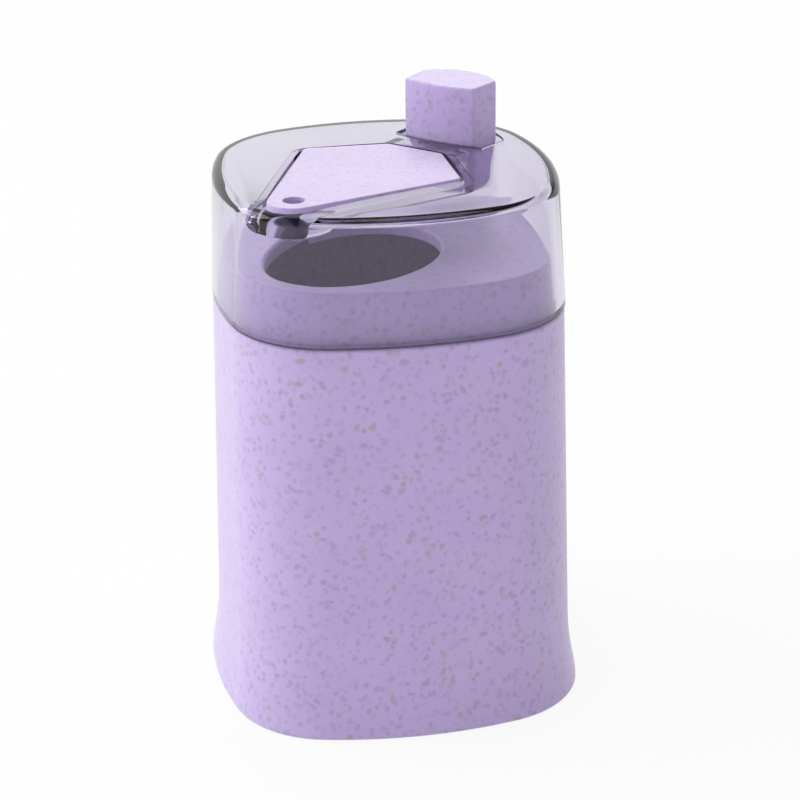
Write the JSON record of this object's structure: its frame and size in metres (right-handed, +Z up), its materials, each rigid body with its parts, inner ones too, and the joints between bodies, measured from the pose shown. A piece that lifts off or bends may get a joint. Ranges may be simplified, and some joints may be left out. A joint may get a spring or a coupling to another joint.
{
  "type": "toothpick holder",
  "caption": "Rounded-square toothpick box with a clear lift-off cap and a push button that tips up a kite-shaped flap with a pick hole.",
  "frame": {"origin": "centre of the base, on the surface that the holder stands on", "axes": "+Z up; the square's corners lie on X and Y, with the pick hole at the -Y corner and the button at the +Y corner"},
  "size_m": [0.065, 0.065, 0.0918],
  "materials": {
    "flecked_plastic": "satin moulded plastic with fine straw-coloured flecks",
    "smoke_clear": "clear plastic with a light smoke tint, polished",
    "spring_steel": "drawn wire and rod"
  },
  "bodies": {
    "body": {"body_shell": "flecked_plastic", "base_plate": "flecked_plastic"},
    "cap": {"cap": "smoke_clear", "pivot_pin": "spring_steel", "return_spring": "spring_steel"},
    "flap": {"flap_lever": "flecked_plastic"},
    "button": {"push_button": "flecked_plastic"}
  },
  "joints": [
    {"name": "cap_lift", "type": "slide", "parent": "body", "child": "cap", "axis": [0, 0, 1], "range_m": [0, 0.03]},
    {"name": "flap_lift", "type": "hinge", "parent": "cap", "child": "flap", "pos_m": [0, 0.01121, 0.0793], "axis": [-1, 0, 0], "range_deg": [0, 23.5], "stiffness_Nm_per_rad": 0.02, "springref_deg": -14.32, "deforming": ["return_spring"]},
    {"name": "button_press", "type": "slide", "parent": "cap", "child": "button", "axis": [0, 0, -1], "range_m": [0, 0.0029]}
  ],
  "couplings": [
    {"joint": "button_press", "follows": "flap_lift", "m_per_rad": 0.007}
  ]
}
